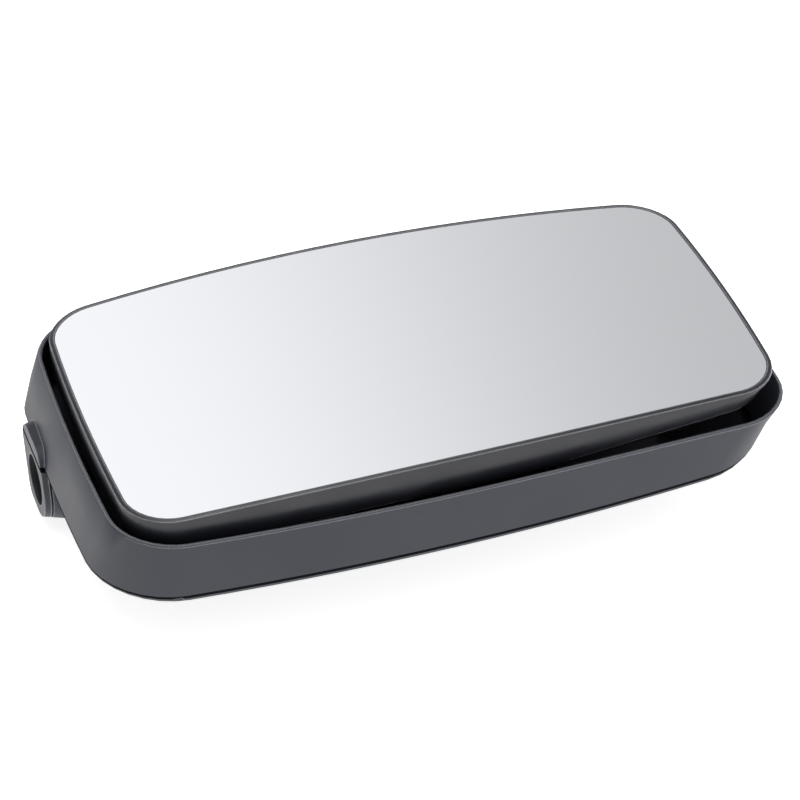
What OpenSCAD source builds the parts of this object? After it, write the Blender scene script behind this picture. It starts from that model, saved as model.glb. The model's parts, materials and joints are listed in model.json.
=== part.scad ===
// Convex rear-view mirror head for a lorry or bus: a long convex glass that a
// two-axis adjuster aims, in a two-part housing that clamps onto a round arm.
// It lies on its back, glass up: X runs along the glass, the arm leaves at -X.

/* [Mirror glass] */
// Length of the glass between its two ends
glass_l = 380; // [340:1:460]
// Width of the glass at its arm end
glass_w_arm = 198; // [170:0.5:240]
// Width of the glass at its free end
glass_w_free = 187; // [160:0.5:230]
// Bow of the long side at the parting tab
bow_near = 11.7; // [4:0.1:16]
// Bow of the opposite long side
bow_far = 6.8; // [3:0.1:16]
// Bow of the end towards the arm
bow_arm_end = 4.4; // [1:0.1:8]
// Bow of the free end
bow_free_end = 2.9; // [1:0.1:8]
// Size of the glass corners, along each side
glass_corner = 24; // [14:1:34]
// Radius of the convex glass surface
glass_radius = 1800; // [1400:50:2600]
// Thickness of the glass
glass_t = 2.2; // [1.8:0.1:3]
// Thickness of the heater foil and of the adhesive pad
film_t = 0.5; // [0.4:0.1:0.8]

/* [Glass holder] */
// Thickness of the plate that carries the glass
plate_t = 2.6; // [2:0.1:4]
// Clearance round the edge of the glass
glass_gap = 0.3; // [0.2:0.1:0.6]
// Wall of the lip outside the glass
lip_w = 3; // [2.4:0.1:4]
// Height of the outer band at the middle and the arm end
band_h = 22; // [18:1:26]
// How much lower the band is at the free end
band_drop = 12; // [4:1:14]
// How far the band leans in at the free end, clear of the leaning housing
band_lean = 6; // [4:0.5:8]
// Step inwards below the band
tray_step = 6; // [4:0.5:8]
// Wall of the inset tray
tray_wall = 2.4; // [2:0.1:3]
// Radius of the round pad behind the holder
pad_r = 46; // [40:1:52]

/* [Housing] */
// Overall depth from the back to the middle of the glass
depth = 108; // [104:1:130]
// Depth of the housing rim below the middle of the glass
rim_below = 22; // [20:0.5:28]
// How much lower the rim is at the free end
rim_drop = 6.5; // [0:0.5:8]
// Depth of the parting line below the housing rim
band_depth = 38; // [34:0.5:46]
// Gap from the glass edge to the inside of the rim
rim_gap = 8; // [7:0.5:12]
// Wall of the housing at the rim
rim_wall = 2.6; // [2:0.1:4]
// How far the arm end leans out between the rim and the parting line
lean_arm = 10; // [0:0.5:14]
// How far the free end leans in between the rim and the parting line
lean_free = 10.6; // [4:0.1:14]
// How far the long sides lean in
lean_side = 2.6; // [0:0.1:5]
// Wall of the rear cover
cover_wall = 3; // [2.4:0.1:4]
// Shadow gap where the cover meets the front frame
seam = 1; // [0.4:0.1:1.2]
// Rounding of the cover just behind the seam
cover_edge_r = 5.5; // [4:0.5:8]
// Slope of the cover's flanks from its flat back
cover_slope = 36; // [30:1:37]
// Rounding between the flanks and the flat back
back_r = 40; // [25:1:60]

/* [Arm entry] */
// Radius of the arm tube that the head clamps onto
arm_r = 14; // [12:0.5:16]
// Clearance of the hole in the housing round the arm
entry_gap = 1.5; // [1:0.1:2.5]
// Height of the arm's axis above the back of the head
arm_z = 28; // [26:0.5:34]
// Distance of the arm's axis from the middle of the glass
arm_y = 40; // [30:1:46]
// How far the nose stands out past the parting line at the arm end
nose_out = 2.2; // [1:0.1:6]
// Wall of the nose round the hole
nose_wall = 4.5; // [4:0.5:7]

/* [Adjuster] */
// Depth of the pivot below the middle of the glass
pivot_below = 30; // [28:0.5:32]
// Distance of each push rod from the pivot
lever = 32; // [30:1:34]
// Radius of a push rod
rod_r = 3; // [2.5:0.1:3.5]
// Radius of the ball on a push rod
ball_r = 4.6; // [4:0.1:5]
// Radius of the pins of the pivot cross
pin_r = 2.5; // [2:0.1:3]
// Running clearance of a pin or rod in its bore
run_gap = 0.06; // [0.03:0.01:0.09]
// Side clearance of a rod's ball in its socket
ball_gap = 1.1; // [1:0.1:1.4]
// Outer radius of a worm wheel
wheel_r = 11; // [10:0.5:12]
// Thickness of a worm wheel
wheel_t = 8; // [6:1:10]
// Number of teeth on a worm wheel
wheel_teeth = 24; // [18:1:30]
// Outer radius of a worm
worm_r = 3.2; // [2.8:0.1:3.6]
// Radius of a motor
motor_r = 9.5; // [8:0.5:10]
// Length of a motor
motor_l = 25; // [22:1:30]
// Wall of the adjuster's case
case_wall = 2; // [1.6:0.1:2.6]

/* [Clamp and fasteners] */
// Length of the clamp along the arm
clamp_l = 50; // [40:1:60]
// Wall of the clamp round the arm
clamp_wall = 5; // [4:0.5:7]
// Thickness of the support plate
support_t = 4; // [3:0.5:6]
// Radius of the clamp bolts
bolt_r = 3; // [2.5:0.5:4]
// Radius of the small screws
screw_r = 2; // [1.5:0.25:2.5]
// Clearance round a bolt or screw in its hole
bolt_gap = 0.25; // [0.2:0.05:0.4]

/* [Hidden] */

// Steps along the outline: long sides, corners and ends
n_side = 14;
n_corner = 8;
n_end = 8;
round_fn = 64;
eps = 0.01;

// Heights above the back of the head
rim_z = depth - rim_below;
part_z = rim_z - band_depth;
glass_under = glass_t + 2 * film_t;
plate_under = glass_under + plate_t;

// Offsets of an outline from the glass edge: arm end, free end, near side, far side
rim_out = rim_gap + rim_wall;
o_rim = [rim_out, rim_out, rim_out, rim_out];
o_part = [rim_out + lean_arm, rim_out - lean_free, rim_out - lean_side, rim_out - lean_side];
c_rim = glass_corner + rim_out;
c_part = c_rim + 8;
tight_part = 13;
rim_turn = 20;
function grow(o, d) = [for (v = o) v + d];

// ---- Outline of the glass, pushed outwards by o, with corners of size c ----
// The corner at the arm end and far side is smaller by tight.
function x_lo(o) = -(glass_l / 2 + o.x);
function x_hi(o) = glass_l / 2 + o.y;
function x_at(o, s) = (x_lo(o) + x_hi(o)) / 2 + s * (x_hi(o) - x_lo(o)) / 2;
function half_w(s) = (glass_w_arm * (1 - s) + glass_w_free * (1 + s)) / 4;
function far_y(o, s) = half_w(s) + o[3];
function near_y(o, s) = -half_w(s) - o[2];
function side_pt(o, s, far) =
    [x_at(o, s), far ? far_y(o, s) + bow_far * (1 - s * s)
                     : near_y(o, s) - bow_near * (1 - s * s)];
function end_pt(o, t, free) =
    let (s = free ? 1 : -1, y = t > 0 ? far_y(o, s) : -near_y(o, s))
    [free ? x_hi(o) + bow_free_end * (1 - t * t) : x_lo(o) - bow_arm_end * (1 - t * t), y * t];
function corner_pt(a, b, c, t) =
    let (w = sqrt(0.5), d = (1 - t) * (1 - t) + 2 * w * t * (1 - t) + t * t)
    ((1 - t) * (1 - t) * a + 2 * w * t * (1 - t) * b + t * t * c) / d;
function corner(a, b, c) = [for (i = [1 : n_corner - 1]) corner_pt(a, b, c, i / n_corner)];
function outline(o, c, tight = 0) =
    let (sc = 1 - 2 * c / (x_hi(o) - x_lo(o)),
         sa = 1 - 2 * (c - tight) / (x_hi(o) - x_lo(o)),
         an = 1 + c / near_y(o, -1), af = 1 - (c - tight) / far_y(o, -1),
         fn = 1 + c / near_y(o, 1), ff = 1 - c / far_y(o, 1))
    concat(
        [for (i = [0 : n_side]) side_pt(o, sc * (2 * i / n_side - 1), false)],
        corner(side_pt(o, sc, false), [x_hi(o), near_y(o, 1)], end_pt(o, -fn, true)),
        [for (i = [0 : n_end]) end_pt(o, -fn + (fn + ff) * i / n_end, true)],
        corner(end_pt(o, ff, true), [x_hi(o), far_y(o, 1)], side_pt(o, sc, true)),
        [for (i = [0 : n_side]) side_pt(o, sc - (sc + sa) * i / n_side, true)],
        corner(side_pt(o, -sa, true), [x_lo(o), far_y(o, -1)], end_pt(o, af, false)),
        [for (i = [0 : n_end]) end_pt(o, af - (af + an) * i / n_end, false)],
        corner(end_pt(o, -an, false), [x_lo(o), near_y(o, -1)], side_pt(o, -sc, false)));

// Height of the glass surface over a point
function glass_z(p) = depth - (p.x * p.x + p.y * p.y) / (2 * glass_radius);

// Rings: flat at height z, following the glass at dz, or the outline shrunk by k
function ring(o, c, z, tight = 0) = [for (p = outline(o, c, tight)) [p.x, p.y, z]];
// The housing rim drops towards the free end
function rim_ring(o, c, dz) = [for (p = outline(o, c))
    let (u = max(0, p.x - rim_turn) / (glass_l / 2 - rim_turn)) [p.x, p.y, rim_z + dz - rim_drop * u * u]];
function glass_ring(o, c, dz) = [for (p = outline(o, c)) [p.x, p.y, glass_z(p) + dz]];
function shrunk_ring(o, c, k, dz) =
    [for (p = outline(o, c)) [k * p.x, k * p.y, glass_z(k * p) + dz]];
function hub_ring(o, c, k, dz) = [for (p = outline(o, c)) [k * p.x, k * p.y, depth + dz]];

// Lower edge of the holder's band, which rises towards the free end
band_turn = 35;
function band_low(p) = band_h - band_drop * max(0, p.x - band_turn) / (glass_l / 2 - band_turn);
function band_ring(o, c, part) =
    [for (p = outline(o, c)) [p.x, p.y, glass_z(p) - part * band_low(p)]];

// ---- Solids made of rings ----
function strips(n, rows, flip = false) = [for (r = rows, i = [0 : n - 1])
    let (a = r.x * n + i, b = r.y * n + i, c = r.y * n + (i + 1) % n, d = r.x * n + (i + 1) % n)
    each flip ? [[a, b, d], [b, c, d]] : [[a, b, c], [a, c, d]]];
// Closed at both ends; from ring turn on the quads are split the other way
module loft(rings, turn = 1000) {
    n = len(rings[0]);
    m = len(rings);
    polyhedron(
        points = [for (r = rings) each r],
        faces = concat([[for (i = [0 : n - 1]) i]],
                       [[for (i = [n - 1 : -1 : 0]) (m - 1) * n + i]],
                       strips(n, [for (j = [0 : min(turn, m - 1) - 1]) [j, j + 1]]),
                       strips(n, [for (j = [turn : m - 2]) [j, j + 1]], true)));
}
module hoop(rings) {
    n = len(rings[0]);
    m = len(rings);
    polyhedron(
        points = [for (r = rings) each r],
        faces = strips(n, [for (j = [0 : m - 1]) [j, (j + 1) % m]]));
}

// ---- Profile of the rear cover: inset and drop from the parting line ----
cover_top = part_z - seam;
edge_turn = 90 - cover_slope;
edge_in = cover_edge_r * (1 - cos(edge_turn));
edge_down = cover_edge_r * sin(edge_turn);
back_in = back_r * sin(cover_slope);
back_down = back_r * (1 - cos(cover_slope));
flank_down = cover_top - edge_down - back_down;
flank_in = flank_down / tan(cover_slope);
cover_profile = concat(
    [for (i = [0 : 4]) let (a = edge_turn * i / 4)
        [cover_edge_r * (1 - cos(a)), cover_edge_r * sin(a)]],
    [for (i = [0 : 6]) let (a = cover_slope * (1 - i / 6))
        [edge_in + flank_in + back_in - back_r * sin(a), cover_top - back_r * (1 - cos(a))]]);
// The flanks stand steeper at the ends and on the far side than on the near side
flank_share = [0.45, 0.6, 1, 0.6];
function cover_corner(inset) = max(c_part - 0.3 * inset, 14);
function cover_rings(shift) = [for (i = [len(cover_profile) - 1 : -1 : 0])
    let (q = cover_profile[i], beyond = max(0, q.x - edge_in))
    ring([for (k = [0 : 3]) o_part[k] - seam - shift - min(q.x, edge_in) - beyond * flank_share[k]],
         cover_corner(q.x + shift), max(cover_top - q.y, shift),
         tight_part * (1 - beyond / (edge_in + flank_in + back_in)))];

entry_r = arm_r + entry_gap;
nose_r = entry_r + nose_wall;

// Whole head moved so that the middle of its base is the origin
nose_x = x_lo(o_part) - bow_arm_end - nose_out;
rim_points = outline(o_rim, c_rim);
free_x = max([for (p = rim_points) p.x]);
near_edge = min([for (p = rim_points) p.y]);
far_edge = max([for (p = rim_points) p.y]);
module place() {
    translate([-(nose_x + free_x) / 2, -(near_edge + far_edge) / 2, 0]) children();
}

// Arm clamp and plan of the adjuster's case
clamp_x = nose_x + 51.2;
clamp_end = clamp_x + clamp_l;
worm_l = 22;
worm_pitch = 2.4;
drive_y = wheel_r + worm_r + 0.15;
case_x0 = -(worm_l / 2 + motor_l + case_wall + 9);
case_x1 = lever + drive_y + motor_r + case_wall + 3.15;
case_y0 = -case_x1;
case_y1 = worm_l / 2 + motor_l + case_wall + 12;

// Round bar along +X, +Y or +Z from a point
module bar_x(p, r, l, fn = round_fn) { translate(p) rotate([0, 90, 0]) cylinder(r = r, h = l, $fn = fn); }
module bar_y(p, r, l, fn = round_fn) { translate(p) rotate([-90, 0, 0]) cylinder(r = r, h = l, $fn = fn); }
module bar_z(p, r, l, fn = round_fn) { translate(p) cylinder(r = r, h = l, $fn = fn); }

// ---- Housing ----
// Nose round the arm's entry: a rounded flat face, widening into roots in the end wall.
// Each disc is [place across, height, radius].
root_x = nose_x + 14;
nose_discs = [[arm_y - 1.5, arm_z - 1.5, nose_r], [arm_y - 3, part_z - 7, 15],
              [arm_y + 13, part_z - 5, 13], [arm_y + 10, arm_z - 12, 9]];
module nose(d = 0) {
    hull() {
        for (q = nose_discs) {
            bar_x([nose_x - d, q.x, q.y], q[2] + d, 1, 48);
            bar_x([root_x, q.x, q.y], q[2] + 4 + d, 1, 48);
        }
        bar_x([root_x + 10, arm_y - 1.5, arm_z], nose_r + 3 + d, 1, 48);
    }
}
module entry_hole() { bar_x([nose_x - 1, arm_y, arm_z], entry_r, 60); }
// Collar length that belongs to the front frame all round
collar_l = 4;

frame_wall_in = rim_wall + 0.2;
wall_swell = 0.3;
module frame_hoop() {
    o_lip = grow(o_rim, -0.8);
    hoop([
        ring(o_part, c_part, part_z, tight_part),
        ring(grow((o_part + o_rim) / 2, wall_swell), (c_part + c_rim) / 2, (part_z + rim_z) / 2,
             tight_part / 2),
        rim_ring(o_rim, c_rim, -0.9),
        rim_ring(o_lip, c_rim - 0.8, 0),
        rim_ring(grow(o_rim, 0.8 - rim_wall), c_rim - rim_wall + 0.8, 0),
        rim_ring(grow(o_rim, -rim_wall), c_rim - rim_wall, -0.9),
        ring(grow(o_part, -frame_wall_in), c_part - frame_wall_in, part_z, tight_part)]);
}
module frame_inside() {
    loft([
        ring(grow(o_part, -frame_wall_in), c_part - frame_wall_in, part_z - 40, tight_part),
        ring(grow(o_part, -frame_wall_in), c_part - frame_wall_in, part_z, tight_part),
        ring(grow(o_rim, -rim_wall), c_rim - rim_wall, rim_z + eps)]);
}
// Screw posts inside the middle of each side, with a web to the wall: [place, direction of web]
post_r = 5;
post_h = 6;
post_inset = 7;
o_post = grow(o_part, -frame_wall_in - post_inset);
posts = [[side_pt(o_post, 0, false), -90], [side_pt(o_post, 0, true), 90],
         [end_pt(o_post, -0.5, false), 180], [end_pt(o_post, 0.5, true), 0]];
module post_web(p) {
    translate([p[0].x, p[0].y, part_z]) rotate(p[1]) translate([0, -2, 0])
        cube([post_inset + 1, 4, post_h / 2]);
}
module front_frame() {
    color([0.33, 0.34, 0.37]) place() difference() {
        union() {
            frame_hoop();
            difference() {
                nose();
                frame_inside();
                translate([nose_x + collar_l, arm_y - 60, -1]) cube([80, 120, part_z + 1]);
            }
            for (p = posts) {
                bar_z([p[0].x, p[0].y, part_z], post_r, post_h);
                post_web(p);
            }
        }
        entry_hole();
        for (p = posts) bar_z([p[0].x, p[0].y, part_z - 1], screw_r, post_h - 1);
    }
}

post_floor = part_z - 6;

// Rear cover: a domed shell with bosses for the frame screws and the support plate
boss_pts = [[clamp_end + 12, arm_y + 14], [clamp_end + 12, arm_y - 42],
            [case_x0 - 13, 48], [case_x0 - 13, -48], [case_x1 + 11, 40], [case_x1 + 11, -40]];
boss_r = 5;
support_z = 14;
head_r = 3.6;
head_h = 2.4;
nut_h = 5;
tab_l = 14;
tab_x = -184;
module rear_cover() {
    color([0.36, 0.36, 0.39]) place() difference() {
        union() {
            difference() {
                loft(cover_rings(0));
                loft(concat(cover_rings(cover_wall),
                            [ring(grow(o_part, -seam - cover_wall), c_part - cover_wall, part_z + 1, tight_part)]));
            }
            difference() {
                nose();
                loft(concat(cover_rings(cover_wall),
                            [ring(grow(o_part, -seam - cover_wall), c_part - cover_wall, part_z + 40, tight_part)]));
                translate([nose_x - 1, arm_y - 60, cover_top]) cube([80, 120, depth]);
            }
            intersection() {
                union() {
                    for (p = boss_pts) bar_z([p.x, p.y, 1], boss_r, support_z - 1);
                    for (p = posts) bar_z([p[0].x, p[0].y, 1], post_r + 2, part_z);
                }
                loft(cover_rings(0.5));
            }
        }
        intersection() {
            nose(seam);
            translate([nose_x - 5, arm_y - 60, -1]) cube([collar_l + seam + 5, 120, depth]);
        }
        entry_hole();
        for (p = boss_pts) bar_z([p.x, p.y, 4], screw_r, support_z);
        for (p = posts) {
            bar_z([p[0].x, p[0].y, -1], screw_r + bolt_gap, depth);
            bar_z([p[0].x, p[0].y, -1], head_r + 0.4, post_floor + 1);
        }
        translate([tab_x, near_edge - 5, cover_top - 3]) cube([tab_l, 16, 6]);
    }
}
module frame_screws() {
    color([0.62, 0.63, 0.65]) place() for (p = posts) {
        bar_z([p[0].x, p[0].y, post_floor - eps], screw_r - 0.05, part_z - post_floor + post_h - 2.5);
        bar_z([p[0].x, p[0].y, post_floor - head_h], head_r, head_h);
    }
}

// Rubber ring that keeps water and dust out round the arm
module arm_grommet() {
    color([0.08, 0.08, 0.09]) place() translate([nose_x + 2, arm_y, arm_z]) rotate([0, 90, 0])
        rotate_extrude($fn = round_fn)
            polygon([[arm_r + 0.25, 2], [arm_r + 0.6, 0], [entry_r - 0.05, 0],
                     [entry_r - 0.05, 9], [arm_r + 0.25, 9]]);
}

// ---- Mirror glass, its films and the holder ----
o_glass = [0, 0, 0, 0];
o_film = [-4, -4, -4, -4];
c_film = glass_corner - 4;
function film_steps(dz) = concat([hub_ring(o_film, c_film, 0.04, dz)],
    [for (k = [0.25, 0.5, 0.75]) shrunk_ring(o_film, c_film, k, dz)],
    [glass_ring(o_film, c_film, dz)]);
function glass_steps(dz) = concat(film_steps(dz), [glass_ring(o_glass, glass_corner, dz)]);
function reversed(a) = [for (i = [len(a) - 1 : -1 : 0]) a[i]];
module film(top) {
    below = film_steps(-top - film_t);
    loft(concat(below, reversed(film_steps(-top))), len(below));
}
module mirror_glass() {
    below = glass_steps(-glass_t);
    color([0.85, 0.86, 0.87]) place() loft(concat(below, reversed(glass_steps(0))), len(below));
}
module adhesive_pad() { color([0.1, 0.1, 0.1]) place() film(glass_t); }
module heater_foil() { color([0.75, 0.5, 0.25]) place() film(glass_t + film_t); }

tray_z = rim_z - 11;
pad_z = depth - 13;
tray_draft = 5;
ledge_gap = 0.15;
function free_in(o, d) = [o[0], o[1] - d, o[2], o[3]];
module holder_shell() {
    lip_in = grow(o_glass, glass_gap);
    band = grow(o_glass, lip_w + glass_gap);
    foot = free_in(grow(band, -1.5), band_lean);
    tray = free_in(grow(band, -tray_step), band_lean - 2);
    tray_low = grow(tray, -tray_draft);
    well = grow(o_film, glass_gap);
    c = glass_corner;
    outside = [
        glass_ring(grow(tray, -tray_wall), c - 4, -plate_under),
        ring(grow(tray_low, -tray_wall), c + 4, tray_z),
        ring(tray_low, c + 5, tray_z),
        band_ring(tray, c, 1),
        band_ring(foot, c + 2, 1),
        band_ring(free_in(grow(band, -0.7), band_lean), c + 3, 0.95),
        band_ring(free_in(grow(band, -0.3), band_lean / 2), c + 3, 0.5),
        glass_ring(band, c + 3, -0.9),
        glass_ring(grow(band, -0.25), c + 2.8, 0.1),
        glass_ring(grow(band, -0.9), c + 2.2, 0.5),
        glass_ring(grow(lip_in, 0.4), c + 0.4, 0.5),
        glass_ring(lip_in, c, 0.1),
        glass_ring(lip_in, c, -glass_t - ledge_gap),
        glass_ring(well, c_film, -glass_t - ledge_gap),
        glass_ring(well, c_film, -glass_under)];
    under = concat([hub_ring(grow(tray, -tray_wall), c - 4, 0.04, -plate_under)],
        [for (k = [0.25, 0.5, 0.75, 0.92]) shrunk_ring(grow(tray, -tray_wall), c - 4, k, -plate_under)]);
    loft(concat(under, outside, reversed(film_steps(-glass_under))), len(under) + len(outside));
}
carrier_pts = [for (a = [45 : 90 : 315]) [38 * cos(a), 38 * sin(a)]];
module glass_holder() {
    color([0.22, 0.22, 0.25]) place() difference() {
        union() {
            holder_shell();
            bar_z([0, 0, pad_z], pad_r, depth - plate_under - pad_z + 0.4, 96);
        }
        for (p = carrier_pts) bar_z([p.x, p.y, pad_z - 1], screw_r, 6);
    }
}

// ---- Carrier, pivot cross and push rods ----
pivot_z = depth - pivot_below;
carrier_t = 5;
carrier_z = pad_z - carrier_t;
ball_top = max(0, pivot_z + ball_r + 0.3 - carrier_z);
lug_in = 11;
lug_out = 18;
lug_r = 5;
cross_half = 6;
socket_r = ball_r + ball_gap + 2.3;
socket_low = 5;
module lug_x(sx, low) {
    difference() {
        union() {
            bar_x([sx > 0 ? lug_in : -lug_out, 0, pivot_z], lug_r, lug_out - lug_in);
            translate([sx > 0 ? lug_in : -lug_out, -lug_r, low])
                cube([lug_out - lug_in, 2 * lug_r, pivot_z - low]);
        }
        bar_x([sx > 0 ? lug_in - 1 : -lug_out - 1, 0, pivot_z], pin_r + run_gap, lug_out - lug_in + 2);
    }
}
module lug_y(sy, high) {
    difference() {
        union() {
            bar_y([0, sy > 0 ? lug_in : -lug_out, pivot_z], lug_r, lug_out - lug_in);
            translate([-lug_r, sy > 0 ? lug_in : -lug_out, pivot_z])
                cube([2 * lug_r, lug_out - lug_in, high - pivot_z]);
        }
        bar_y([0, sy > 0 ? lug_in - 1 : -lug_out - 1, pivot_z], pin_r + run_gap, lug_out - lug_in + 2);
    }
}
module ball_socket(p) {
    difference() {
        bar_z([p.x, p.y, pivot_z - socket_low], socket_r, carrier_z - pivot_z + socket_low + 1);
        bar_z([p.x, p.y, pivot_z - socket_low - 1], ball_r + ball_gap,
              socket_low + 1 + ball_r + 0.3);
    }
}
pan_at = [0, -lever];
tilt_at = [lever, 0];
module carrier_plate() {
    color([0.16, 0.16, 0.17]) place() {
        difference() {
            bar_z([0, 0, carrier_z], pad_r - 2, carrier_t, 96);
            for (p = carrier_pts) bar_z([p.x, p.y, carrier_z - 1], screw_r + bolt_gap, carrier_t + 2);
            bar_z([pan_at.x, pan_at.y, carrier_z - 1], ball_r + ball_gap, 1 + ball_top);
            bar_z([tilt_at.x, tilt_at.y, carrier_z - 1], ball_r + ball_gap, 1 + ball_top);
        }
        lug_y(1, carrier_z + 1);
        lug_y(-1, carrier_z + 1);
        ball_socket(pan_at);
        ball_socket(tilt_at);
    }
}
module carrier_screws() {
    color([0.62, 0.63, 0.65]) place() for (p = carrier_pts) {
        bar_z([p.x, p.y, carrier_z - head_h], head_r, head_h);
        bar_z([p.x, p.y, carrier_z], screw_r - 0.05, carrier_t + 4);
    }
}
module gimbal_cross() {
    color([0.8, 0.8, 0.78]) place() {
        translate([-cross_half, -cross_half, pivot_z - 4]) cube([2 * cross_half, 2 * cross_half, 8]);
        bar_x([-lug_out - 0.5, 0, pivot_z], pin_r, 2 * lug_out + 1);
        bar_y([0, -lug_out - 0.5, pivot_z], pin_r, 2 * lug_out + 1);
    }
}
module push_rod(p) {
    bar_z([p.x, p.y, rod_low], rod_r, pivot_z - rod_low);
    translate([p.x, p.y, pivot_z]) sphere(r = ball_r, $fn = 48);
}
module pan_push_rod() { color([0.9, 0.9, 0.86]) place() push_rod(pan_at); }
module tilt_push_rod() { color([0.9, 0.9, 0.86]) place() push_rod(tilt_at); }

// ---- Adjuster case, wheels, worms and motors ----
case_low = support_z + support_t;
case_high = pivot_z - 14;
case_split = case_high - wheel_t - 10;
wheel_z = case_split;
drive_z = wheel_z + wheel_t / 2;
rod_low = wheel_z - 8;
wire_r = 2.5;
wire_y = 24;
wire_z = case_low + 10;
module case_outline(d) {
    translate([case_x0 + d, case_y0 + d])
        square([case_x1 - case_x0 - 2 * d, case_y1 - case_y0 - 2 * d]);
}
case_screw_pts = [[case_x0 + 6, case_y1 - 6], [case_x1 - 6, case_y1 - 6],
                  [case_x0 + 6, case_y0 + 6], [case_x1 - 6, case_y0 + 6]];
module wheel_seat(p, z0, z1) {
    difference() {
        bar_z([p.x, p.y, z0], rod_r + 3, z1 - z0);
        bar_z([p.x, p.y, z0 - 1], rod_r + 0.3, z1 - z0 + 2);
    }
}
module actuator_base() {
    color([0.13, 0.13, 0.14]) place() difference() {
        union() {
            difference() {
                translate([0, 0, case_low]) linear_extrude(case_split - case_low) case_outline(0);
                translate([0, 0, case_low + case_wall])
                    linear_extrude(case_split) case_outline(case_wall);
            }
            for (p = case_screw_pts) bar_z([p.x, p.y, case_low], 4.5, case_split - case_low);
            for (p = [pan_at, tilt_at])
                wheel_seat(p, case_low + case_wall - 1, wheel_z - 0.2);
        }
        for (p = case_screw_pts) bar_z([p.x, p.y, case_low - 1], screw_r + bolt_gap, case_split);
        bar_x([case_x0 - 1, wire_y, wire_z], wire_r + 0.5, 5);
    }
}
module actuator_cover() {
    color([0.15, 0.15, 0.16]) place() difference() {
        union() {
            difference() {
                translate([0, 0, case_split]) linear_extrude(case_high - case_split) case_outline(0);
                translate([0, 0, case_split - 1])
                    linear_extrude(case_high - case_split - case_wall + 1) case_outline(case_wall);
            }
            for (p = case_screw_pts) bar_z([p.x, p.y, case_split], 4.5, case_high - case_split);
            for (p = [pan_at, tilt_at])
                bar_z([p.x, p.y, wheel_z + wheel_t + 0.2], rod_r + 3, case_high - wheel_z - wheel_t - 0.2);
            lug_x(1, case_high - 1);
            lug_x(-1, case_high - 1);
        }
        for (p = [pan_at, tilt_at]) bar_z([p.x, p.y, case_split], rod_r + run_gap, depth);
        for (p = case_screw_pts) bar_z([p.x, p.y, case_split - 1], screw_r, 13);
    }
}
module actuator_screws() {
    color([0.62, 0.63, 0.65]) place() for (p = case_screw_pts) {
        bar_z([p.x, p.y, support_z], head_r, head_h);
        bar_z([p.x, p.y, support_z], screw_r - 0.05, case_split - support_z + 10);
    }
}
module worm_wheel(p) {
    tooth = 360 / wheel_teeth;
    translate([p.x, p.y, wheel_z]) difference() {
        linear_extrude(wheel_t) polygon([for (i = [0 : wheel_teeth - 1], q = [0 : 3])
            let (a = tooth * (i + [-0.32, -0.16, 0.16, 0.32][q]),
                 r = (q == 1 || q == 2) ? wheel_r : wheel_r - 1.2)
            r * [cos(a), sin(a)]]);
        translate([0, 0, -1]) cylinder(r = rod_r + run_gap, h = wheel_t + 2, $fn = round_fn);
    }
}
module pan_wheel() { color([0.88, 0.87, 0.8]) place() worm_wheel(pan_at); }
module tilt_wheel() { color([0.88, 0.87, 0.8]) place() worm_wheel(tilt_at); }
module worm() {
    rotate_extrude($fn = round_fn) polygon(concat(
        [[0, 0], [1.2, 0], [1.2, 3], [2, 3]],
        [for (z = [4 : worm_pitch : worm_l - 4]) each [[2, z], [worm_r, z + 0.5],
            [worm_r, z + 1.1], [2, z + 1.6]]],
        [[2, worm_l - 1], [1.2, worm_l - 1], [1.2, worm_l], [0, worm_l]]));
}
module motor() {
    difference() {
        cylinder(r = motor_r, h = motor_l, $fn = round_fn);
        translate([0, 0, motor_l - 1.5]) cylinder(r = 4, h = 2, $fn = round_fn);
    }
}
module pan_drive() { translate([-worm_l / 2, pan_at.y - drive_y, drive_z]) rotate([0, 90, 0]) children(); }
module tilt_drive() { translate([tilt_at.x + drive_y, -worm_l / 2, drive_z]) rotate([-90, 0, 0]) children(); }
module pan_worm() { color([0.72, 0.6, 0.35]) place() pan_drive() worm(); }
module tilt_worm() { color([0.72, 0.6, 0.35]) place() tilt_drive() worm(); }
module pan_motor() {
    color([0.6, 0.61, 0.63]) place() pan_drive() translate([0, 0, -motor_l]) motor();
}
module tilt_motor() {
    color([0.6, 0.61, 0.63]) place() tilt_drive() translate([0, 0, worm_l]) motor();
}

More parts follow.
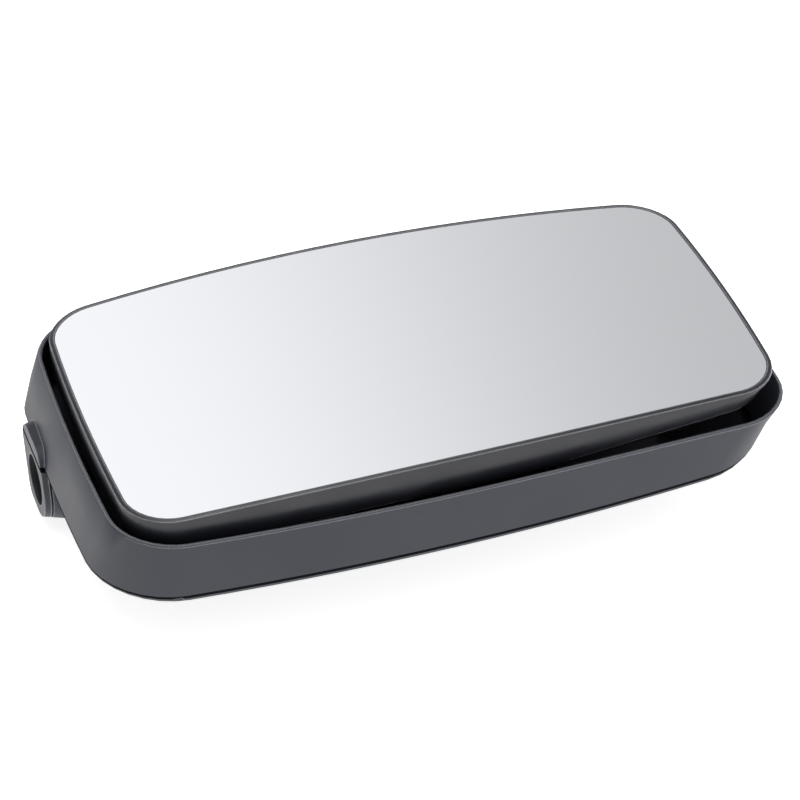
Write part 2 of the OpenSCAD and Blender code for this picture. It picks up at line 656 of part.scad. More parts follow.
// ---- Support plate, arm clamp, plug and wiring ----
clamp_split = 1;
flange_t = 6;
saddle_z = arm_z - arm_r - clamp_wall;
cap_top = arm_z + clamp_split + flange_t;
bolt_out = arm_r + clamp_wall + 1.9 * bolt_r + 0.5;
clamp_half = bolt_out + 1.9 * bolt_r + 1.5;
bolt_pts = [for (x = [clamp_x + 10, clamp_end - 10], s = [-1, 1]) [x, arm_y + s * bolt_out]];
plate_half = 56;
module support_plate() {
    color([0.55, 0.56, 0.58]) place() difference() {
        union() {
            hull() {
                translate([clamp_x, arm_y - clamp_half, support_z])
                    cube([clamp_l, 2 * clamp_half, support_t]);
                translate([case_x0 - 23, -plate_half, support_z])
                    cube([8, 2 * plate_half, support_t]);
            }
            translate([case_x0 - 19, -plate_half, support_z])
                cube([case_x1 - case_x0 + 36, 2 * plate_half, support_t]);
            translate([clamp_x, arm_y - arm_r - clamp_wall, saddle_z])
                cube([clamp_l, 2 * (arm_r + clamp_wall), arm_z - clamp_split - saddle_z]);
            translate([clamp_x, arm_y - clamp_half, support_z])
                cube([clamp_l, 2 * clamp_half, arm_z - clamp_split - support_z]);
        }
        bar_x([clamp_x - 1, arm_y, arm_z], arm_r, clamp_l + 2);
        for (p = bolt_pts) {
            bar_z([p.x, p.y, saddle_z - 1], bolt_r + bolt_gap, arm_z);
            bar_z([p.x, p.y, support_z - 1], 2 * bolt_r + 0.2, nut_h + 1.2, 6);
        }
        for (p = concat(boss_pts, case_screw_pts))
            bar_z([p.x, p.y, support_z - 1], screw_r + bolt_gap, support_t + 2);
        for (p = case_screw_pts) bar_z([p.x, p.y, support_z - 1], head_r + 0.2, head_h + 1.1);
        translate([-30, -20, support_z - 1]) cube([70, 40, support_t + 2]);
    }
}
module clamp_cap() {
    color([0.55, 0.56, 0.58]) place() difference() {
        union() {
            translate([clamp_x, arm_y - clamp_half, arm_z + clamp_split])
                cube([clamp_l, 2 * clamp_half, flange_t]);
            bar_x([clamp_x, arm_y, arm_z], arm_r + clamp_wall, clamp_l);
        }
        translate([clamp_x - 1, arm_y - 60, -50]) cube([clamp_l + 2, 120, 50 + arm_z + clamp_split]);
        bar_x([clamp_x - 1, arm_y, arm_z], arm_r, clamp_l + 2);
        for (p = bolt_pts) bar_z([p.x, p.y, arm_z], bolt_r + bolt_gap, 20);
    }
}
module clamp_bolts() {
    color([0.7, 0.71, 0.72]) place() for (p = bolt_pts) {
        bar_z([p.x, p.y, support_z], bolt_r, cap_top - support_z + 1);
        bar_z([p.x, p.y, cap_top], bolt_r * 1.9, 5, 6);
    }
}
module clamp_nuts() {
    color([0.7, 0.71, 0.72]) place() for (p = bolt_pts) difference() {
        bar_z([p.x, p.y, support_z + 0.2], 2 * bolt_r, nut_h, 6);
        bar_z([p.x, p.y, support_z - 1], bolt_r, nut_h + 2);
    }
}
module support_screws() {
    color([0.62, 0.63, 0.65]) place() for (p = boss_pts) {
        bar_z([p.x, p.y, 6], screw_r - 0.05, case_low - 6);
        bar_z([p.x, p.y, case_low], head_r, head_h);
    }
}
plug_at = [(clamp_end + case_x0) / 2, 16];
module plug_socket() {
    color([0.2, 0.2, 0.22]) place() difference() {
        translate([plug_at.x - 14, plug_at.y - 9, case_low]) cube([26, 18, 14]);
        translate([plug_at.x - 15, plug_at.y - 7, case_low + 2]) cube([12, 14, 10]);
    }
}
module wiring_loom() {
    wire_x = case_x0 - 8;
    color([0.05, 0.05, 0.05]) place() union() {
        bar_x([plug_at.x + 12, plug_at.y, wire_z], wire_r, wire_x - plug_at.x - 12, 24);
        translate([wire_x, plug_at.y, wire_z]) sphere(r = wire_r, $fn = 24);
        bar_y([wire_x, plug_at.y, wire_z], wire_r, wire_y - plug_at.y, 24);
        translate([wire_x, wire_y, wire_z]) sphere(r = wire_r, $fn = 24);
        bar_x([wire_x, wire_y, wire_z], wire_r, case_x0 + case_wall - wire_x + 4, 24);
    }
}

front_frame();
rear_cover();
arm_grommet();
mirror_glass();
adhesive_pad();
heater_foil();
glass_holder();
carrier_plate();
carrier_screws();
gimbal_cross();
actuator_base();
actuator_cover();
actuator_screws();
pan_motor();
tilt_motor();
pan_worm();
tilt_worm();
pan_wheel();
tilt_wheel();
pan_push_rod();
tilt_push_rod();
support_plate();
support_screws();
clamp_cap();
clamp_bolts();
clamp_nuts();
plug_socket();
wiring_loom();
frame_screws();
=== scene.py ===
"""Rear-view mirror head for a lorry or bus, lying on its back with the glass up.

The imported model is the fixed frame; this script gives it its finishes, the smooth
outer shells and the studio it stands in. All lengths are metres in the model's frame.
"""
import json
import math

import bpy
from mathutils import Matrix, Vector


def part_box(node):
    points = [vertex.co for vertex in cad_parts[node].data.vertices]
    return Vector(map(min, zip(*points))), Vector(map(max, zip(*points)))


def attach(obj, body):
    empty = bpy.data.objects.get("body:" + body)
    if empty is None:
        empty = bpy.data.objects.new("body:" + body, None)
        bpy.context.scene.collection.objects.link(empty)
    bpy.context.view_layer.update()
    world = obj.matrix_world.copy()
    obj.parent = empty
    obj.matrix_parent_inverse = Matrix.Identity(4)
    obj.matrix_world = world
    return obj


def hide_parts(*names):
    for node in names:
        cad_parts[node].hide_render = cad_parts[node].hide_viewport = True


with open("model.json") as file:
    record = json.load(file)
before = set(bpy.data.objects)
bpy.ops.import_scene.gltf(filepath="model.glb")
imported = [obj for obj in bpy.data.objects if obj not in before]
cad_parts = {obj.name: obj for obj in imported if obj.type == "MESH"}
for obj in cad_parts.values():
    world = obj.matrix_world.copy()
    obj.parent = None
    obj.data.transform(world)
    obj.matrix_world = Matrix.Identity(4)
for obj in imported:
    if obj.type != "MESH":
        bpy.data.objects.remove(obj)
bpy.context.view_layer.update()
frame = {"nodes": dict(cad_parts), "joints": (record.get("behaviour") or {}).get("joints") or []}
nodes = frame["nodes"]
MM = 0.001

# ---- Camera ----
# A long lens looks down on the glass from beyond the arm end's near corner,
# so that both long sides and the arm entry show.
glass_low, glass_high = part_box("mirror_glass")
pivot = Vector(frame["joints"][0]["pos_m"])
glass_middle = Vector((pivot.x, pivot.y, glass_high.z))
camera_back = Vector((-0.2552, -0.7461, 0.6150))
camera_up = Vector((0.1991, 0.5819, 0.7885))
camera_right = camera_up.cross(camera_back)
eye = glass_middle + Vector((-0.5271, -1.5220, 1.2096))
SENSOR_MM = 36.0
LENS_MM = 157.5
camera_data = bpy.data.cameras.new("camera")
camera_data.sensor_width = SENSOR_MM
camera_data.lens = LENS_MM
camera = bpy.data.objects.new("camera", camera_data)
bpy.context.scene.collection.objects.link(camera)
camera.matrix_world = Matrix((
    (camera_right.x, camera_up.x, camera_back.x, eye.x),
    (camera_right.y, camera_up.y, camera_back.y, eye.y),
    (camera_right.z, camera_up.z, camera_back.z, eye.z),
    (0, 0, 0, 1)))
bpy.context.scene.camera = camera

# ---- Studio ----
# A white table under a large soft sky. The sky is brightest just past the middle and fades
# to both sides, so the convex glass shows a white that turns grey towards its free end.
SKY_BRIGHTEST, SKY_FREE_END = 1.08, 0.6
SKY_BEHIND_ARM = 0.3
SKY_TURN = 0.02
TABLE_SIZE = 12.0
TABLE_GLOW = 0.78


def linear(code):
    """A colour written as sRGB hex, in linear light."""
    parts = [int(code[i:i + 2], 16) / 255 for i in (1, 3, 5)]
    return tuple(c / 12.92 if c <= 0.04045 else ((c + 0.055) / 1.055) ** 2.4 for c in parts) + (1.0,)


def add_node(tree, kind, links=(), **settings):
    """A node of that kind with its settings, and its inputs set to values or linked to sockets."""
    made = tree.nodes.new(kind)
    for name, value in settings.items():
        setattr(made, name, value)
    for socket, value in links:
        if isinstance(value, bpy.types.NodeSocket):
            tree.links.new(value, made.inputs[socket])
        else:
            made.inputs[socket].default_value = value
    return made


bpy.context.scene.view_settings.view_transform = "Standard"
world = bpy.data.worlds.new("soft_sky")
bpy.context.scene.world = world
world.use_nodes = True
sky = world.node_tree
sky.nodes.clear()
sky_at = add_node(sky, "ShaderNodeTexCoord")
sky_axes = add_node(sky, "ShaderNodeSeparateXYZ", [(0, sky_at.outputs["Generated"])])
sky_side = add_node(sky, "ShaderNodeMapRange", [
    ("Value", sky_axes.outputs["X"]), ("From Min", SKY_TURN), ("From Max", 0.5),
    ("To Min", SKY_BRIGHTEST), ("To Max", SKY_FREE_END)], interpolation_type="SMOOTHSTEP")
sky_behind_arm = add_node(sky, "ShaderNodeMapRange", [
    ("Value", sky_axes.outputs["X"]), ("From Min", -0.25), ("From Max", SKY_TURN),
    ("To Min", SKY_BEHIND_ARM), ("To Max", 1.0)], interpolation_type="SMOOTHSTEP")
sky_power = add_node(sky, "ShaderNodeMath", [
    (0, sky_side.outputs["Result"]), (1, sky_behind_arm.outputs["Result"])], operation="MULTIPLY")
sky_light = add_node(sky, "ShaderNodeBackground", [
    ("Color", linear("#fdfdff")), ("Strength", sky_power.outputs[0])])
add_node(sky, "ShaderNodeOutputWorld", [("Surface", sky_light.outputs[0])])


def select_only(piece):
    """Deselects everything, then selects this piece and makes it active."""
    bpy.ops.object.select_all(action="DESELECT")
    piece.select_set(True)
    bpy.context.view_layer.objects.active = piece


bpy.ops.object.select_all(action="DESELECT")
bpy.ops.mesh.primitive_plane_add(size=TABLE_SIZE, location=(0, 0, 0))
table = bpy.context.object
table.name = "white_table"
table_paint = bpy.data.materials.new("white_laminate")
table_paint.use_nodes = True
table_skin = table_paint.node_tree.nodes["Principled BSDF"]
table_skin.inputs["Base Color"].default_value = linear("#f6f6f6")
table_skin.inputs["Roughness"].default_value = 0.9
table_skin.inputs["Specular IOR Level"].default_value = 0.1
table_skin.inputs["Emission Color"].default_value = linear("#ffffff")
table_skin.inputs["Emission Strength"].default_value = TABLE_GLOW
table.data.materials.append(table_paint)


def soft_box(name, power, width, height, place, aim):
    """A rectangular area light at a place, turned to face a point."""
    lamp = bpy.data.lights.new(name, "AREA")
    lamp.shape = "RECTANGLE"
    lamp.size, lamp.size_y, lamp.energy = width, height, power
    box = bpy.data.objects.new(name, lamp)
    bpy.context.scene.collection.objects.link(box)
    box.location = place
    box.rotation_mode = "QUATERNION"
    box.rotation_quaternion = (Vector(aim) - Vector(place)).to_track_quat("-Z", "Y")
    return box


soft_box("top_softbox", 34, 2.4, 1.6, (-0.3, 0.1, 2.6), (0, 0, 0.05))

# ---- Mirror glass ----
# Convex float glass with a chromed back: a hard bright mirror with a ground edge.
# It is a smooth dome, so the facets of the frame's glass are drawn out to the true curve.
GLASS_RADIUS = 1.8
TOP_FACES = 0.7
FACE_DEPTH = 1.0 * MM


def merged_copy(node, name, turn):
    """A merged copy of a node's mesh, smooth over edges that turn less than that many degrees."""
    piece = bpy.data.objects.new(name, nodes[node].data.copy())
    bpy.context.scene.collection.objects.link(piece)
    piece.data.materials.clear()
    select_only(piece)
    bpy.ops.mesh.customdata_custom_splitnormals_clear()
    bpy.ops.object.mode_set(mode="EDIT")
    bpy.ops.mesh.select_all(action="SELECT")
    bpy.ops.mesh.remove_doubles(threshold=0.002 * MM)
    bpy.ops.object.mode_set(mode="OBJECT")
    bpy.ops.object.shade_smooth_by_angle(angle=math.radians(turn))
    return piece


def select_faces(piece, wanted):
    """In edit mode, selects only the faces for which wanted(face) is true."""
    bpy.ops.object.mode_set(mode="OBJECT")
    for face in piece.data.polygons:
        face.select = bool(wanted(face))
    for edge in piece.data.edges:
        edge.select = False
    for point in piece.data.vertices:
        point.select = False
    bpy.ops.object.mode_set(mode="EDIT")
    bpy.ops.mesh.select_mode(type="FACE")


def new_material(name, colour, roughness, metallic=0.0):
    """A principled material with its plain colour, roughness and metal set."""
    made = bpy.data.materials.new(name)
    made.use_nodes = True
    skin = made.node_tree.nodes["Principled BSDF"]
    skin.inputs["Base Color"].default_value = linear(colour)
    skin.inputs["Roughness"].default_value = roughness
    skin.inputs["Metallic"].default_value = metallic
    return made, made.node_tree, skin


def dress(piece, material):
    """Puts one material on a piece, whatever slots it has."""
    if not piece.material_slots:
        piece.data.materials.append(material)
    for place in piece.material_slots:
        place.material = material


mirror_glass = merged_copy("mirror_glass", "convex_mirror_glass", 30)
select_faces(mirror_glass, lambda face: face.normal.z > TOP_FACES)
bpy.ops.mesh.subdivide(number_cuts=3)
bpy.ops.object.mode_set(mode="OBJECT")
for point in mirror_glass.data.vertices:
    out = math.hypot(point.co.x - glass_middle.x, point.co.y - glass_middle.y)
    domed = glass_middle.z - out * out / (2 * GLASS_RADIUS)
    if point.co.z > domed - FACE_DEPTH:
        point.co.z = domed
select_only(mirror_glass)
bpy.ops.object.shade_smooth_by_angle(angle=math.radians(30))
# Chrome behind glass: nearly colourless, with faint wiping marks in its polish
chromed_glass, tree, skin = new_material("chromed_float_glass", "#eef0f2", 0.015, 1.0)
skin.inputs["Coat Weight"].default_value = 0.4
skin.inputs["Coat Roughness"].default_value = 0.01
place = add_node(tree, "ShaderNodeTexCoord")
wiped = add_node(tree, "ShaderNodeMapping", [
    ("Vector", place.outputs["Object"]), ("Scale", (9.0, 42.0, 9.0)), ("Rotation", (0, 0, 0.5))])
haze = add_node(tree, "ShaderNodeTexNoise", [
    ("Vector", wiped.outputs[0]), ("Scale", 1.0), ("Detail", 4.0), ("Roughness", 0.6)])
add_rough = add_node(tree, "ShaderNodeMapRange", [
    ("Value", haze.outputs["Fac"]), ("From Min", 0.4), ("From Max", 0.75),
    ("To Min", 0.008), ("To Max", 0.03)])
tree.links.new(add_rough.outputs["Result"], skin.inputs["Roughness"])
dress(mirror_glass, chromed_glass)
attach(mirror_glass, "glass_head")
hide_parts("mirror_glass")

# ---- Heater foil and adhesive pad ----
# A polyimide heater film and a closed-cell foam tape, pressed between the glass and
# its holder. Only their thin edges could be seen.
heater_film, tree, skin = new_material("polyimide_film", "#8a5a22", 0.35)
place = add_node(tree, "ShaderNodeTexCoord")
tracks = add_node(tree, "ShaderNodeTexWave", [
    ("Vector", place.outputs["Object"]), ("Scale", 60.0), ("Distortion", 0.0)], bands_direction="Y")
track_step = add_node(tree, "ShaderNodeMapRange", [
    ("Value", tracks.outputs["Fac"]), ("From Min", 0.55), ("From Max", 0.65)])
track_mix = add_node(tree, "ShaderNodeMix", [
    (0, track_step.outputs["Result"]), (6, linear("#8a5a22")), (7, linear("#b08a5c"))],
    data_type="RGBA")
tree.links.new(track_mix.outputs[2], skin.inputs["Base Color"])
dress(nodes["heater_foil"], heater_film)

foam_tape, tree, skin = new_material("acrylic_foam_tape", "#1b1b1c", 0.85)
place = add_node(tree, "ShaderNodeTexCoord")
cells = add_node(tree, "ShaderNodeTexVoronoi", [
    ("Vector", place.outputs["Object"]), ("Scale", 1 / (0.4 * MM))])
pores = add_node(tree, "ShaderNodeBump", [
    ("Height", cells.outputs["Distance"]), ("Strength", 0.3), ("Distance", 0.05 * MM)])
tree.links.new(pores.outputs[0], skin.inputs["Normal"])
dress(nodes["adhesive_pad"], foam_tape)

# ---- Glass holder ----
# The tray that carries the glass, injection moulded in near-black ABS with a satin
# band round it and a rolled lip with a painted highlight along its edge.


def painted_edge_highlight(tree, radius_mm, most):
    """How strong the painted edge highlight is at a point: where the rounded normal leaves the
    face's own.
    """
    rounded = add_node(tree, "ShaderNodeBevel", [("Radius", radius_mm * MM)], samples=4)
    shape = add_node(tree, "ShaderNodeNewGeometry")
    alike = add_node(tree, "ShaderNodeVectorMath", [
        (0, rounded.outputs[0]), (1, shape.outputs["Normal"])], operation="DOT_PRODUCT")
    edge = add_node(tree, "ShaderNodeMapRange", [
        ("Value", alike.outputs["Value"]), ("From Min", 0.99), ("From Max", 0.88),
        ("To Min", 0.0), ("To Max", most)])
    return edge.outputs["Result"]


HOLDER_BLACK = "#202127"
holder = merged_copy("glass_holder", "glass_holder_tray", 35)
holder_abs, tree, skin = new_material("satin_abs", HOLDER_BLACK, 0.36)
place = add_node(tree, "ShaderNodeTexCoord")
# Satin tool marks of 0.1 mm, drawn at 0.6 mm so that they show
satin = add_node(tree, "ShaderNodeTexNoise", [
    ("Vector", place.outputs["Object"]), ("Scale", 1 / (0.6 * MM)), ("Detail", 3.0)])
satin_relief = add_node(tree, "ShaderNodeBump", [
    ("Height", satin.outputs["Fac"]), ("Strength", 0.12), ("Distance", 0.03 * MM)])
tree.links.new(satin_relief.outputs[0], skin.inputs["Normal"])
handled = add_node(tree, "ShaderNodeTexNoise", [
    ("Vector", place.outputs["Object"]), ("Scale", 38.0), ("Detail", 5.0)])
polish = add_node(tree, "ShaderNodeMapRange", [
    ("Value", handled.outputs["Fac"]), ("From Min", 0.3), ("From Max", 0.7),
    ("To Min", 0.3), ("To Max", 0.42)])
tree.links.new(polish.outputs["Result"], skin.inputs["Roughness"])
# Painted highlight: the rolled lip's rounded edge is mixed towards pale grey.
lip = add_node(tree, "ShaderNodeMix", [
    (0, painted_edge_highlight(tree, 1.1, 0.7)), (6, linear(HOLDER_BLACK)), (7, linear("#c3c5c9"))],
    data_type="RGBA")
tree.links.new(lip.outputs[2], skin.inputs["Base Color"])
dress(holder, holder_abs)
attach(holder, "glass_head")
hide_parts("glass_holder")

# ---- Front frame ----
# The deep rim of the housing with the nose for the arm: injection moulded ASA in dark
# grey with a fine-grained, weatherproof face, a painted highlight along the rim edge and painted
# shade along the parting line.
front_frame = merged_copy("front_frame", "front_frame_shell", 32)
PARTING_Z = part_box("rear_cover")[1].z + 0.5 * MM
# Painted shade: how far from the parting line the near-black band reaches, how it fades and how dark
# it gets.
SEAM_SHADE_REACH, SEAM_SHADE_FADE = 1.3 * MM, 0.4 * MM
SEAM_SHADE_STRENGTH = 0.95


def grained_asa(name, colour, roughness, grain_mm, depth_mm):
    """Moulded ASA: a fine pebble grain, slightly uneven gloss, painted edge highlights and painted
    shade along the parting line.
    """
    made, tree, skin = new_material(name, colour, roughness)
    skin.inputs["IOR"].default_value = 1.52
    place = add_node(tree, "ShaderNodeTexCoord")
    pebbles = add_node(tree, "ShaderNodeTexVoronoi", [
        ("Vector", place.outputs["Object"]), ("Scale", 1 / (grain_mm * MM)),
        ("Randomness", 1.0)], feature="SMOOTH_F1")
    ripple = add_node(tree, "ShaderNodeTexNoise", [
        ("Vector", place.outputs["Object"]), ("Scale", 1 / (2.4 * grain_mm * MM)), ("Detail", 4.0)])
    height = add_node(tree, "ShaderNodeMath", [
        (0, pebbles.outputs["Distance"]), (1, ripple.outputs["Fac"])], operation="ADD")
    relief = add_node(tree, "ShaderNodeBump", [
        ("Height", height.outputs[0]), ("Strength", 0.35), ("Distance", depth_mm * MM)])
    tree.links.new(relief.outputs[0], skin.inputs["Normal"])
    sheen = add_node(tree, "ShaderNodeTexNoise", [
        ("Vector", place.outputs["Object"]), ("Scale", 16.0), ("Detail", 6.0)])
    gloss = add_node(tree, "ShaderNodeMapRange", [
        ("Value", sheen.outputs["Fac"]), ("From Min", 0.3), ("From Max", 0.7),
        ("To Min", roughness - 0.06), ("To Max", roughness + 0.06)])
    tree.links.new(gloss.outputs["Result"], skin.inputs["Roughness"])
    shade = add_node(tree, "ShaderNodeMapRange", [
        ("Value", sheen.outputs["Fac"]), ("From Min", 0.25), ("From Max", 0.75),
        ("To Min", 0.94), ("To Max", 1.06)])
    base = add_node(tree, "ShaderNodeVectorMath", [
        (0, linear(colour)[:3]), ("Scale", shade.outputs["Result"])], operation="SCALE")
    # Painted highlight: rounded edges are mixed towards pale grey.
    highlighted = add_node(tree, "ShaderNodeMix", [
        (0, painted_edge_highlight(tree, 1.3, 0.75)), (6, base.outputs[0]), (7, linear("#a6a8ad"))],
        data_type="RGBA")
    # Painted shade along the parting line: a near-black, matt band that stands for the shadow in the
    # groove
    axes = add_node(tree, "ShaderNodeSeparateXYZ", [(0, place.outputs["Object"])])
    off_line = add_node(tree, "ShaderNodeMath", [
        (0, axes.outputs["Z"]), (1, PARTING_Z)], operation="SUBTRACT")
    off_size = add_node(tree, "ShaderNodeMath", [(0, off_line.outputs[0])], operation="ABSOLUTE")
    seam_shade = add_node(tree, "ShaderNodeMapRange", [
        ("Value", off_size.outputs[0]), ("From Min", SEAM_SHADE_REACH),
        ("From Max", SEAM_SHADE_REACH + SEAM_SHADE_FADE), ("To Min", SEAM_SHADE_STRENGTH), ("To Max", 0.0)])
    seamed = add_node(tree, "ShaderNodeMix", [
        (0, seam_shade.outputs["Result"]), (6, highlighted.outputs[2]), (7, linear("#060607"))],
        data_type="RGBA")
    tree.links.new(seamed.outputs[2], skin.inputs["Base Color"])
    matt = add_node(tree, "ShaderNodeMapRange", [
        ("Value", seam_shade.outputs["Result"]), ("From Min", 0.0), ("From Max", SEAM_SHADE_STRENGTH),
        ("To Min", 0.4), ("To Max", 0.0)])
    tree.links.new(matt.outputs["Result"], skin.inputs["Specular IOR Level"])
    return made


dress(front_frame, grained_asa("grained_asa_frame", "#292b34", 0.5, 0.7, 0.05))
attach(front_frame, "housing")
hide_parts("front_frame")

# ---- Rear cover ----
# The domed back of the housing, moulded in the same ASA, coloured a shade lighter than the frame.
rear_cover = merged_copy("rear_cover", "rear_cover_shell", 32)
# The cover's ASA has the same painted edge highlights and painted shade along the parting line as
# the frame.
dress(rear_cover, grained_asa("grained_asa_cover", "#34363d", 0.52, 0.7, 0.05))
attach(rear_cover, "housing")
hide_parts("rear_cover")

# ---- Arm grommet ----
# A soft EPDM ring pressed into the nose round the arm; its face is dull and dusty.
epdm, tree, skin = new_material("epdm_rubber", "#141415", 0.8)
place = add_node(tree, "ShaderNodeTexCoord")
dust = add_node(tree, "ShaderNodeTexNoise", [
    ("Vector", place.outputs["Object"]), ("Scale", 1 / (1.5 * MM)), ("Detail", 6.0)])
dusting = add_node(tree, "ShaderNodeMapRange", [
    ("Value", dust.outputs["Fac"]), ("From Min", 0.5), ("From Max", 0.8), ("To Max", 0.25)])
dusty = add_node(tree, "ShaderNodeMix", [
    (0, dusting.outputs["Result"]), (6, linear("#141415")), (7, linear("#3f3e3b"))],
    data_type="RGBA")
tree.links.new(dusty.outputs[2], skin.inputs["Base Color"])
bloom = add_node(tree, "ShaderNodeBump", [
    ("Height", dust.outputs["Fac"]), ("Strength", 0.25), ("Distance", 0.08 * MM)])
tree.links.new(bloom.outputs[0], skin.inputs["Normal"])
dress(nodes["arm_grommet"], epdm)

# ---- Carrier plate, adjuster case and plug ----
# Injection moulded glass-filled nylon: near-black and matt, with paler fibre streaks
# along the flow and a slightly rough, frosted skin.
filled_nylon, tree, skin = new_material("glass_filled_nylon", "#1d1d1f", 0.55)
place = add_node(tree, "ShaderNodeTexCoord")
flow = add_node(tree, "ShaderNodeMapping", [
    ("Vector", place.outputs["Object"]), ("Scale", (1 / (3 * MM), 1 / (0.4 * MM), 1 / (0.8 * MM)))])
fibres = add_node(tree, "ShaderNodeTexNoise", [
    ("Vector", flow.outputs[0]), ("Scale", 1.0), ("Detail", 5.0), ("Roughness", 0.7)])
streaks = add_node(tree, "ShaderNodeMapRange", [
    ("Value", fibres.outputs["Fac"]), ("From Min", 0.55), ("From Max", 0.75), ("To Max", 0.3)])
fibre_mix = add_node(tree, "ShaderNodeMix", [
    (0, streaks.outputs["Result"]), (6, linear("#1d1d1f")), (7, linear("#47474a"))],
    data_type="RGBA")
tree.links.new(fibre_mix.outputs[2], skin.inputs["Base Color"])
frosted = add_node(tree, "ShaderNodeBump", [
    ("Height", fibres.outputs["Fac"]), ("Strength", 0.2), ("Distance", 0.04 * MM)])
tree.links.new(frosted.outputs[0], skin.inputs["Normal"])
for name in ("carrier_plate", "actuator_base", "actuator_cover", "plug_socket"):
    dress(nodes[name], filled_nylon)

# ---- Pivot cross, push rods and worm wheels ----
# Natural acetal, moulded and unpainted: creamy white, waxy, with a soft glow at its edges
# and grease smeared round the moving faces.
acetal, tree, skin = new_material("natural_acetal", "#e6e3d8", 0.38)
skin.inputs["Subsurface Weight"].default_value = 0.15
skin.inputs["Subsurface Radius"].default_value = (0.0015, 0.0012, 0.001)
place = add_node(tree, "ShaderNodeTexCoord")
smear = add_node(tree, "ShaderNodeTexNoise", [
    ("Vector", place.outputs["Object"]), ("Scale", 1 / (5 * MM)), ("Detail", 4.0)])
greased = add_node(tree, "ShaderNodeMapRange", [
    ("Value", smear.outputs["Fac"]), ("From Min", 0.45), ("From Max", 0.7),
    ("To Min", 0.4), ("To Max", 0.16)])
tree.links.new(greased.outputs["Result"], skin.inputs["Roughness"])
tint = add_node(tree, "ShaderNodeMix", [
    (0, smear.outputs["Fac"]), (6, linear("#ece9df")), (7, linear("#d8d2bf"))], data_type="RGBA")
tree.links.new(tint.outputs[2], skin.inputs["Base Color"])
for name in ("gimbal_cross", "pan_push_rod", "tilt_push_rod", "pan_wheel", "tilt_wheel"):
    dress(nodes[name], acetal)

# ---- Motors ----
# Drawn steel cans, bright nickel plated, with a fine mottle left by the drawing.
drawn_can, tree, skin = new_material("drawn_steel_can", "#b4b6b9", 0.3, 1.0)
place = add_node(tree, "ShaderNodeTexCoord")
mottle = add_node(tree, "ShaderNodeTexNoise", [
    ("Vector", place.outputs["Object"]), ("Scale", 1 / (0.5 * MM)), ("Detail", 2.0)])
drawn = add_node(tree, "ShaderNodeMapRange", [
    ("Value", mottle.outputs["Fac"]), ("From Min", 0.3), ("From Max", 0.7),
    ("To Min", 0.22), ("To Max", 0.42)])
tree.links.new(drawn.outputs["Result"], skin.inputs["Roughness"])
drawn_relief = add_node(tree, "ShaderNodeBump", [
    ("Height", mottle.outputs["Fac"]), ("Strength", 0.08), ("Distance", 0.02 * MM)])
tree.links.new(drawn_relief.outputs[0], skin.inputs["Normal"])
for name in ("pan_motor", "tilt_motor"):
    dress(nodes[name], drawn_can)

# ---- Worms ----
# Turned brass, one to each motor shaft, bright and dulled in patches by tarnish.
turned_brass, tree, skin = new_material("turned_brass", "#c9a24f", 0.25, 1.0)
place = add_node(tree, "ShaderNodeTexCoord")
tarnish = add_node(tree, "ShaderNodeTexNoise", [
    ("Vector", place.outputs["Object"]), ("Scale", 1 / (2 * MM)), ("Detail", 5.0)])
dulled = add_node(tree, "ShaderNodeMix", [
    (0, tarnish.outputs["Fac"]), (6, linear("#d2ad5b")), (7, linear("#9a7a38"))], data_type="RGBA")
tree.links.new(dulled.outputs[2], skin.inputs["Base Color"])
lathe = add_node(tree, "ShaderNodeMapRange", [
    ("Value", tarnish.outputs["Fac"]), ("From Min", 0.3), ("From Max", 0.7),
    ("To Min", 0.2), ("To Max", 0.38)])
tree.links.new(lathe.outputs["Result"], skin.inputs["Roughness"])
for name in ("pan_worm", "tilt_worm"):
    dress(nodes[name], turned_brass)

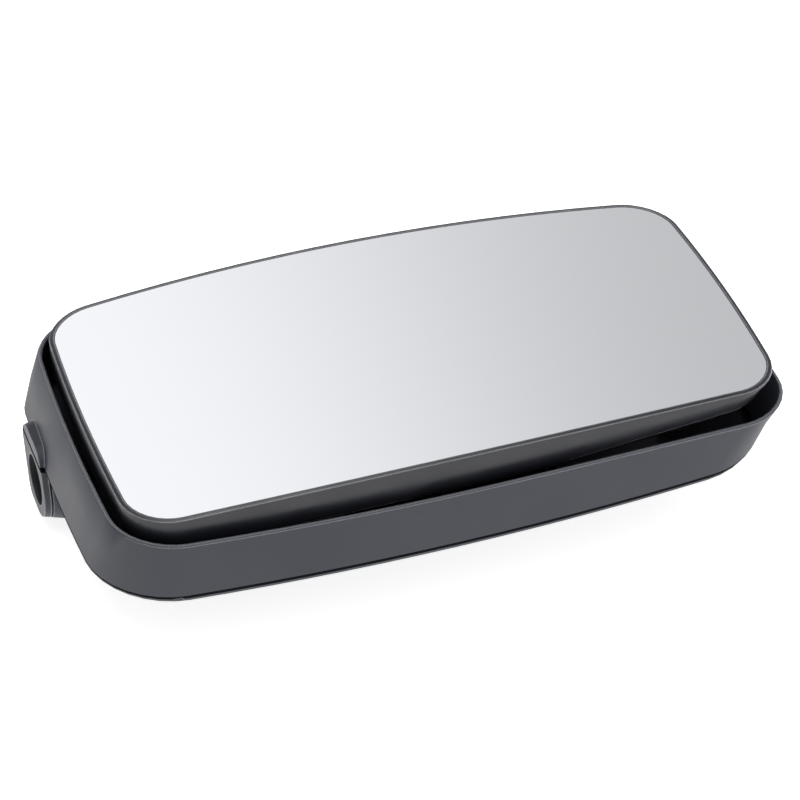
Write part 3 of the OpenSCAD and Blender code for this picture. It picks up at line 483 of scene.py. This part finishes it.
# ---- Support plate and clamp cap ----
# Die-cast aluminium, shot-blasted: grey and matt, with the faint flow marks of the casting.
cast_alloy, tree, skin = new_material("die_cast_aluminium", "#77797c", 0.5, 1.0)
place = add_node(tree, "ShaderNodeTexCoord")
blast = add_node(tree, "ShaderNodeTexNoise", [
    ("Vector", place.outputs["Object"]), ("Scale", 1 / (0.8 * MM)), ("Detail", 6.0)])
blasted = add_node(tree, "ShaderNodeBump", [
    ("Height", blast.outputs["Fac"]), ("Strength", 0.4), ("Distance", 0.08 * MM)])
tree.links.new(blasted.outputs[0], skin.inputs["Normal"])
run_marks = add_node(tree, "ShaderNodeTexNoise", [
    ("Vector", place.outputs["Object"]), ("Scale", 55.0), ("Detail", 4.0), ("Distortion", 0.8)])
cast_tone = add_node(tree, "ShaderNodeMix", [
    (0, run_marks.outputs["Fac"]), (6, linear("#67696c")), (7, linear("#8a8c8f"))],
    data_type="RGBA")
tree.links.new(cast_tone.outputs[2], skin.inputs["Base Color"])
for name in ("support_plate", "clamp_cap"):
    dress(nodes[name], cast_alloy)

# ---- Screws, bolts and nuts ----
# Cold-headed steel, zinc plated and clear passivated: bright grey with a bluish bloom and
# fine scuffs from the driver.
zinc_steel, tree, skin = new_material("zinc_plated_steel", "#b9bcc0", 0.32, 1.0)
place = add_node(tree, "ShaderNodeTexCoord")
scuffs = add_node(tree, "ShaderNodeTexNoise", [
    ("Vector", place.outputs["Object"]), ("Scale", 1 / (0.9 * MM)), ("Detail", 5.0)])
scuffed = add_node(tree, "ShaderNodeMapRange", [
    ("Value", scuffs.outputs["Fac"]), ("From Min", 0.3), ("From Max", 0.7),
    ("To Min", 0.22), ("To Max", 0.45)])
tree.links.new(scuffed.outputs["Result"], skin.inputs["Roughness"])
plated = add_node(tree, "ShaderNodeMix", [
    (0, scuffs.outputs["Fac"]), (6, linear("#aeb3bb")), (7, linear("#c6c7c8"))], data_type="RGBA")
tree.links.new(plated.outputs[2], skin.inputs["Base Color"])
for name in ("carrier_screws", "actuator_screws", "support_screws", "clamp_bolts",
             "clamp_nuts", "frame_screws"):
    dress(nodes[name], zinc_steel)

# ---- Wiring loom ----
# A soft PVC sleeve over the leads, black and slightly glossy, with shallow wrinkles.
pvc_sleeve, tree, skin = new_material("pvc_sleeve", "#111112", 0.42)
place = add_node(tree, "ShaderNodeTexCoord")
wrinkles = add_node(tree, "ShaderNodeTexNoise", [
    ("Vector", place.outputs["Object"]), ("Scale", 1 / (3 * MM)), ("Detail", 3.0)])
wrinkled = add_node(tree, "ShaderNodeBump", [
    ("Height", wrinkles.outputs["Fac"]), ("Strength", 0.4), ("Distance", 0.2 * MM)])
tree.links.new(wrinkled.outputs[0], skin.inputs["Normal"])
dress(nodes["wiring_loom"], pvc_sleeve)
